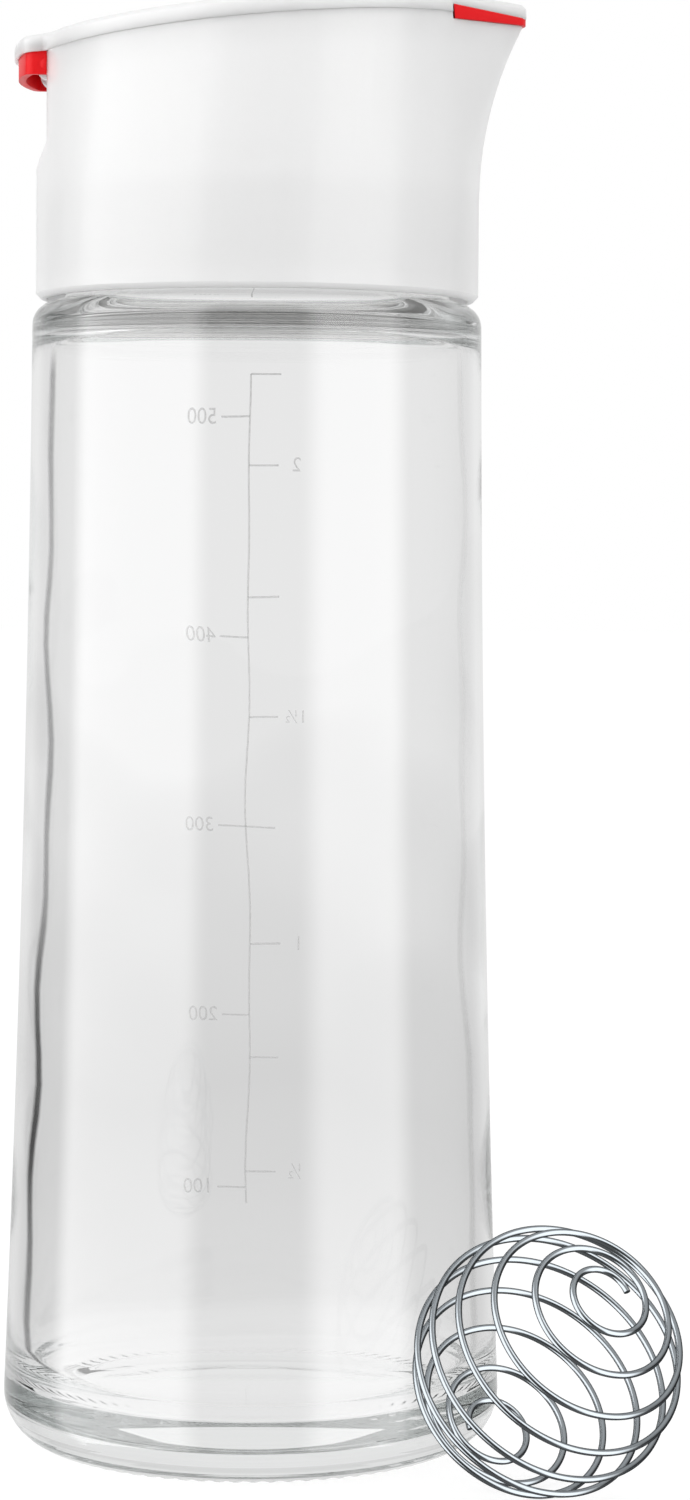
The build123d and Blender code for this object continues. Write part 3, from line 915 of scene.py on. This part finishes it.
def mesh_from(work, name):
    """Ends a bmesh and returns what it held as a mesh."""
    mesh = bpy.data.meshes.new(name)
    work.to_mesh(mesh)
    work.free()
    return mesh


plug_work = bmesh.new()
for way in (-1, 1):
    puck = turned("puck", plug_outline, plug_sides, lambda radius, height, angle: radius)
    puck_place = Matrix.Translation(hinge_place + Vector((0, way * (cheek_side - plug_depth), 0)))
    puck.transform(puck_place @ Matrix.Rotation(-way * pi / 2, 4, "X"))
    plug_work.from_mesh(puck)
put("pin_plugs", mesh_from(plug_work, "pin_plugs"), "flip_cap", None, frame_red)

# %% [markdown]
# ## The thread in the ring
# Its ridge follows the same helix as the one on the neck, 0.7 mm lower, and the lid
# hides both. It turns with the lid, so it rides on the lid. It ends low enough to stay
# under the gasket when the lid has been turned all the way and has risen. At both ends
# the ridge sinks into the ring's wall.

# %% Ring thread
ring_gap = 1.2 * mm
ring_inner = neck_radius + ring_gap
ridge_radius = 0.75 * mm
ridge_turns = 0.6
ridge_steps = 200
ridge_sides = 10
ridge_drop = 0.7 * mm
ridge_end = 0.06                # of a turn
ridge_proud, ridge_sunk = 0.2, 0.8      # its middle into the wall, as a share of its radius


def ridge_point(run):
    """A point on the ridge's middle line after a part of a turn."""
    share = ridge_proud if ridge_end < run < ridge_turns - ridge_end else ridge_sunk
    reach = ring_inner + ridge_radius * share
    angle = 2 * pi * run
    height = thread_low + thread_pitch * run - ridge_drop
    return Vector((reach * cos(angle), reach * sin(angle), height))


ridge_line = [ridge_point(ridge_turns * step / ridge_steps) for step in range(ridge_steps + 1)]
ridge_mesh = wire_mesh("ring_thread", ridge_line, ridge_radius, ridge_sides, ring_white)
put("ring_thread", ridge_mesh, "lid")
print(f"ring thread: {ridge_turns} of a turn, {len(ridge_mesh.polygons)} faces")

# %% [markdown]
# ## The measuring scale
# A scale is printed on the back of the glass: millilitres on one side of a long line,
# measures of another size on the other. Its ticks stand at their own heights, because
# the bottle tapers, so a loop places them from a list. The figures are text that is made
# a mesh first and then wrapped round the glass.

# %% Scale values
scale_lift = 0.03 * mm
print_thickness = 0.012 * mm
line_width = 0.32 * mm
line_place = -1.0 * mm
line_low, line_high = 30.0 * mm, 163.3 * mm
bar_columns = 8
bar_row = 4 * mm
long_ticks = [("500", 156.6), ("400", 122.3), ("300", 91.1), ("200", 61.0), ("100", 32.6)]
cross_ticks = [
    ("", 163.3),
    ("2", 148.7),
    ("", 128.5),
    ("1½", 108.7),
    ("", 91.1),
    ("1", 72.4),
    ("", 53.4),
    ("½", 35.2),
]


def wrapped(mesh, x, height):
    """Lays a flat mesh on the back of the glass, readable from behind."""
    for vertex in mesh.vertices:
        z = height + vertex.co.y
        radius = side_radius(z) + scale_lift + vertex.co.z
        angle = pi / 2 + (vertex.co.x - x) / radius
        vertex.co = (radius * cos(angle), radius * sin(angle), z)
    return mesh


def flat_bar(name, width, height):
    """A thin bar in the XY plane, cut across so that it can bend."""
    work = bmesh.new()
    rows = max(1, round(height / bar_row))
    bmesh.ops.create_grid(work, x_segments=bar_columns, y_segments=rows, size=0.5)
    bmesh.ops.scale(work, vec=(width, height, 1), verts=work.verts)
    return mesh_from(work, name)


def joined(name, meshes):
    """Joins flat meshes into one and gives it the thickness of the print."""
    work = bmesh.new()
    for mesh in meshes:
        work.from_mesh(mesh)
    bmesh.ops.solidify(work, geom=work.faces, thickness=print_thickness)
    bmesh.ops.recalc_face_normals(work, faces=work.faces)
    return mesh_from(work, name)


def figures(text, size):
    """A line of text as a flat mesh, centred on its own middle."""
    curve = bpy.data.curves.new("figure", "FONT")
    curve.body = text
    curve.size = size
    curve.align_x = "CENTER"
    curve.align_y = "CENTER"
    return evaluated_mesh(linked("helper", curve))


# %% Print the scale
def column(ticks, tick_length, way, figure_size, figure_place):
    """The ticks on one side of the long line, with their figures."""
    made = []
    for label, height in ticks:
        tick = flat_bar("tick", tick_length, line_width)
        made.append(wrapped(tick, line_place + way * tick_length / 2, height * mm))
        if label:
            made.append(wrapped(figures(label, figure_size), figure_place, height * mm))
    return made


trunk = flat_bar("trunk", line_width, line_high - line_low)
prints = [wrapped(trunk, line_place, (line_high + line_low) / 2)]
prints += column(long_ticks, tick_length=4.9 * mm, way=-1, figure_size=3.6 * mm, figure_place=-9.3 * mm)
prints += column(cross_ticks, tick_length=5.1 * mm, way=1, figure_size=3.2 * mm, figure_place=7.2 * mm)
scale = put("measuring_scale", joined("measuring_scale", prints), "bottle", None, scale_print)
print(f"scale: {len(scale.data.polygons)} faces")

# %% [markdown]
# ## The surroundings
# The studio is plain. The floor and the backdrop are white to the camera; seen through
# the glass they are a light grey, because a real backdrop is less bright than a lit
# one, and gloss shows a darker room with two tall soft panels in front. Behind the
# object gloss sees the bright backdrop, which keeps the outline of the glass pale, and
# from above comes less light than from the sides, so that the lid's top keeps its
# shape. None of this is part of the object.

# %% World
seen_white = 1.0
through_tone = 0.835
fill_light = 0.96
fill_above = 0.62
fill_heights = (0.1, 0.9)
backdrop_shine = 0.80
backdrop_depths = (0.62, 0.88)
room_tones = [
    (0.0, grey(0.30)),
    (0.38, grey(0.22)),
    (0.46, grey(0.08)),
    (0.60, grey(0.06)),
    (0.72, grey(0.50)),
    (1.0, grey(1.10)),
]


def make_world():
    """White to the camera, light grey through glass, a dim room under a bright ceiling in gloss."""
    world = bpy.data.worlds.new("studio")
    bpy.context.scene.world = world
    finish = Finish("studio", world)
    _, y, z = finish.parts(finish.value("ShaderNodeTexCoord", output="Generated"))
    room = finish.value("ShaderNodeValToRGB", {"stops": room_tones}, {"Fac": z * 0.5 + 0.5})
    behind = finish.ramp(y, *backdrop_depths, kind="SMOOTHSTEP")
    room = finish.blend(behind, room, grey(backdrop_shine))
    above = finish.ramp(z, *fill_heights, fill_light, fill_above)
    levels = {"Red": above, "Green": above, "Blue": above}
    fill = finish.value("ShaderNodeCombineColor", sockets=levels)
    tone = finish.blend(finish.light_path("Is Glossy Ray"), fill, room)
    tone = finish.blend(finish.light_path("Is Transmission Ray"), tone, grey(through_tone))
    tone = finish.blend(finish.light_path("Is Camera Ray"), tone, grey(seen_white))
    shade = finish.value("ShaderNodeBackground", sockets={"Color": tone, "Strength": 1.0})
    finish.node("ShaderNodeOutputWorld", sockets={"Surface": shade})


make_world()

# %% [markdown]
# ## Floor
# In the photograph the floor can't be told from the backdrop. So the floor gives off
# most of its white by itself and takes only a little from the lights, which leaves the
# shadows faint. Through the glass it shows a grey with painted shade that goes by the
# distance from the bottle: pale at its foot, darker a little further off and pale again
# far away.

# %% Floor
floor_radius = 6.0
floor_reach = 2.5               # metres from the middle to the last tone
floor_white = 0.8
floor_lit = 0.32
floor_bright = 0.78
painted_floor_shade_tones = [
    (0.0, grey(0.83)),
    (0.018, grey(0.81)),
    (0.04, grey(0.73)),
    (0.15, grey(0.673)),
    (0.38, grey(0.747)),
    (1.0, grey(0.82)),
]


def make_floor():
    """A wide disc: white to the camera but for faint shadows, grey through the glass with painted shade
    round the bottle.
    """
    finish = Finish("studio_floor")
    lit = finish.value("ShaderNodeBsdfDiffuse", sockets={"Color": grey(floor_white)})
    faint = finish.value("ShaderNodeBsdfDiffuse", sockets={"Color": grey(floor_lit)})
    bright = finish.value("ShaderNodeEmission", sockets={"Color": grey(floor_bright)})
    seen = finish.value("ShaderNodeAddShader", sockets={0: faint, 1: bright})
    away = finish.value("ShaderNodeVectorMath", {"operation": "LENGTH"}, {0: finish.place()}, "Value")
    share = away * (1 / floor_reach)
    # Painted shade: the grey seen through the glass darkens a little way out from the bottle.
    tone = finish.value("ShaderNodeValToRGB", {"stops": painted_floor_shade_tones}, {"Fac": share})
    through = finish.value("ShaderNodeEmission", sockets={"Color": tone})
    shown = finish.mix_shaders(finish.light_path("Is Camera Ray"), lit, seen)
    shown = finish.mix_shaders(finish.light_path("Is Transmission Ray"), shown, through)
    finish.node("ShaderNodeOutputMaterial", sockets={"Surface": shown})
    work = bmesh.new()
    bmesh.ops.create_circle(work, cap_ends=True, segments=96, radius=floor_radius)
    mesh = mesh_from(work, "studio_floor")
    mesh.materials.append(finish.owner)
    floor = linked("studio_floor", mesh)
    floor.visible_glossy = False


make_floor()

# %% [markdown]
# ## Panels
# Two tall soft panels give the two upright bands on the glass. An area lamp would do
# the same, but its edge would be hard. A panel is a curved sheet whose light fades at
# both ends. Its back is see-through, and so is the part where it has faded, so that it
# never stands as a grey shape behind the object when that is seen from another side.

# %% Panels
panel_distance = 1.1
panel_low, panel_high = -0.9, 1.6
panel_columns = 24


def panel_mesh(name, start, end):
    """A curved sheet that stands round the object, with a map that runs across it."""
    vertices, faces = [], []
    for step in range(panel_columns + 1):
        bearing = radians(start + (end - start) * step / panel_columns)
        x, y = panel_distance * sin(bearing), -panel_distance * cos(bearing)
        vertices += [(x, y, panel_low), (x, y, panel_high)]
    for step in range(panel_columns):
        faces.append((2 * step, 2 * step + 1, 2 * step + 3, 2 * step + 2))
    mesh = bpy.data.meshes.new(name)
    mesh.from_pydata(vertices, [], faces)
    layer = mesh.uv_layers.new(name="across")
    for loop in mesh.loops:
        column_index, row = divmod(loop.vertex_index, 2)
        layer.data[loop.index].uv = (column_index / panel_columns, row)
    return mesh


def make_panel(name, start, end, soft, shine, light):
    """A tall curved soft panel between two bearings, in degrees off the camera's side.

    Soft is the share of the width that fades at each end. Shine is what gloss shows of
    it, and light is what it gives to matt surfaces."""
    finish = Finish(name)
    share = finish.parts(finish.value("ShaderNodeUVMap"))[0]
    rise = finish.ramp(share, 0.0, soft, kind="SMOOTHSTEP")
    fall = finish.ramp(share, 1.0 - soft, 1.0, 1.0, 0.0, kind="SMOOTHSTEP")
    front = 1 - finish.value("ShaderNodeNewGeometry", output="Backfacing")
    through = finish.light_path("Is Transmission Ray")
    level = finish.light_path("Is Glossy Ray") * (shine - light) + light
    level = level * (1 - through) + through * through_tone
    glow = finish.value("ShaderNodeEmission", sockets={"Color": grey(1.0), "Strength": level})
    clear = finish.value("ShaderNodeBsdfTransparent")
    shader = finish.mix_shaders(rise * fall * front, clear, glow)
    finish.node("ShaderNodeOutputMaterial", sockets={"Surface": shader})
    mesh = panel_mesh(name, start, end)
    mesh.materials.append(finish.owner)
    panel = linked(name, mesh)
    panel.visible_camera = False


make_panel("left_panel", -106, -21, soft=0.165, shine=3.5, light=1.72)
make_panel("right_panel", 20, 84, soft=0.25, shine=3.5, light=1.6)

# %% [markdown]
# ## Camera
# The photograph was taken from a little above the bottle's middle, looking slightly
# down. The camera stands in front and looks along +Y, turned and tipped by a few
# degrees, so that the bottle lies in the picture where it does in the photograph.

# %% Camera
camera_distance = 600.0 * mm
camera_height = 135.75 * mm
camera_lens = 95.0
nearest_seen = 0.01
turn_right = radians(1.308)
look_down = radians(2.912)
roll_right = radians(0.4)
camera_data = bpy.data.cameras.new("camera")
camera_data.lens = camera_lens
camera_data.clip_start = nearest_seen
camera = linked("camera", camera_data)
turn = Matrix.Rotation(-turn_right, 4, "Z") @ Matrix.Rotation(pi / 2 - look_down, 4, "X")
stand = Matrix.Translation((0, -camera_distance, camera_height))
camera.matrix_world = stand @ turn @ Matrix.Rotation(roll_right, 4, "Z")
bpy.context.scene.camera = camera
bpy.context.scene.view_settings.view_transform = "Standard"

# %% [markdown]
# Light in thick glass is often thrown back inside, and each such turn is a bounce. The
# usual limits leave the base black, so they are raised.

# %% Bounces in the glass
cycles = bpy.context.scene.cycles
cycles.max_bounces = 96
cycles.glossy_bounces = 64
cycles.transmission_bounces = 64
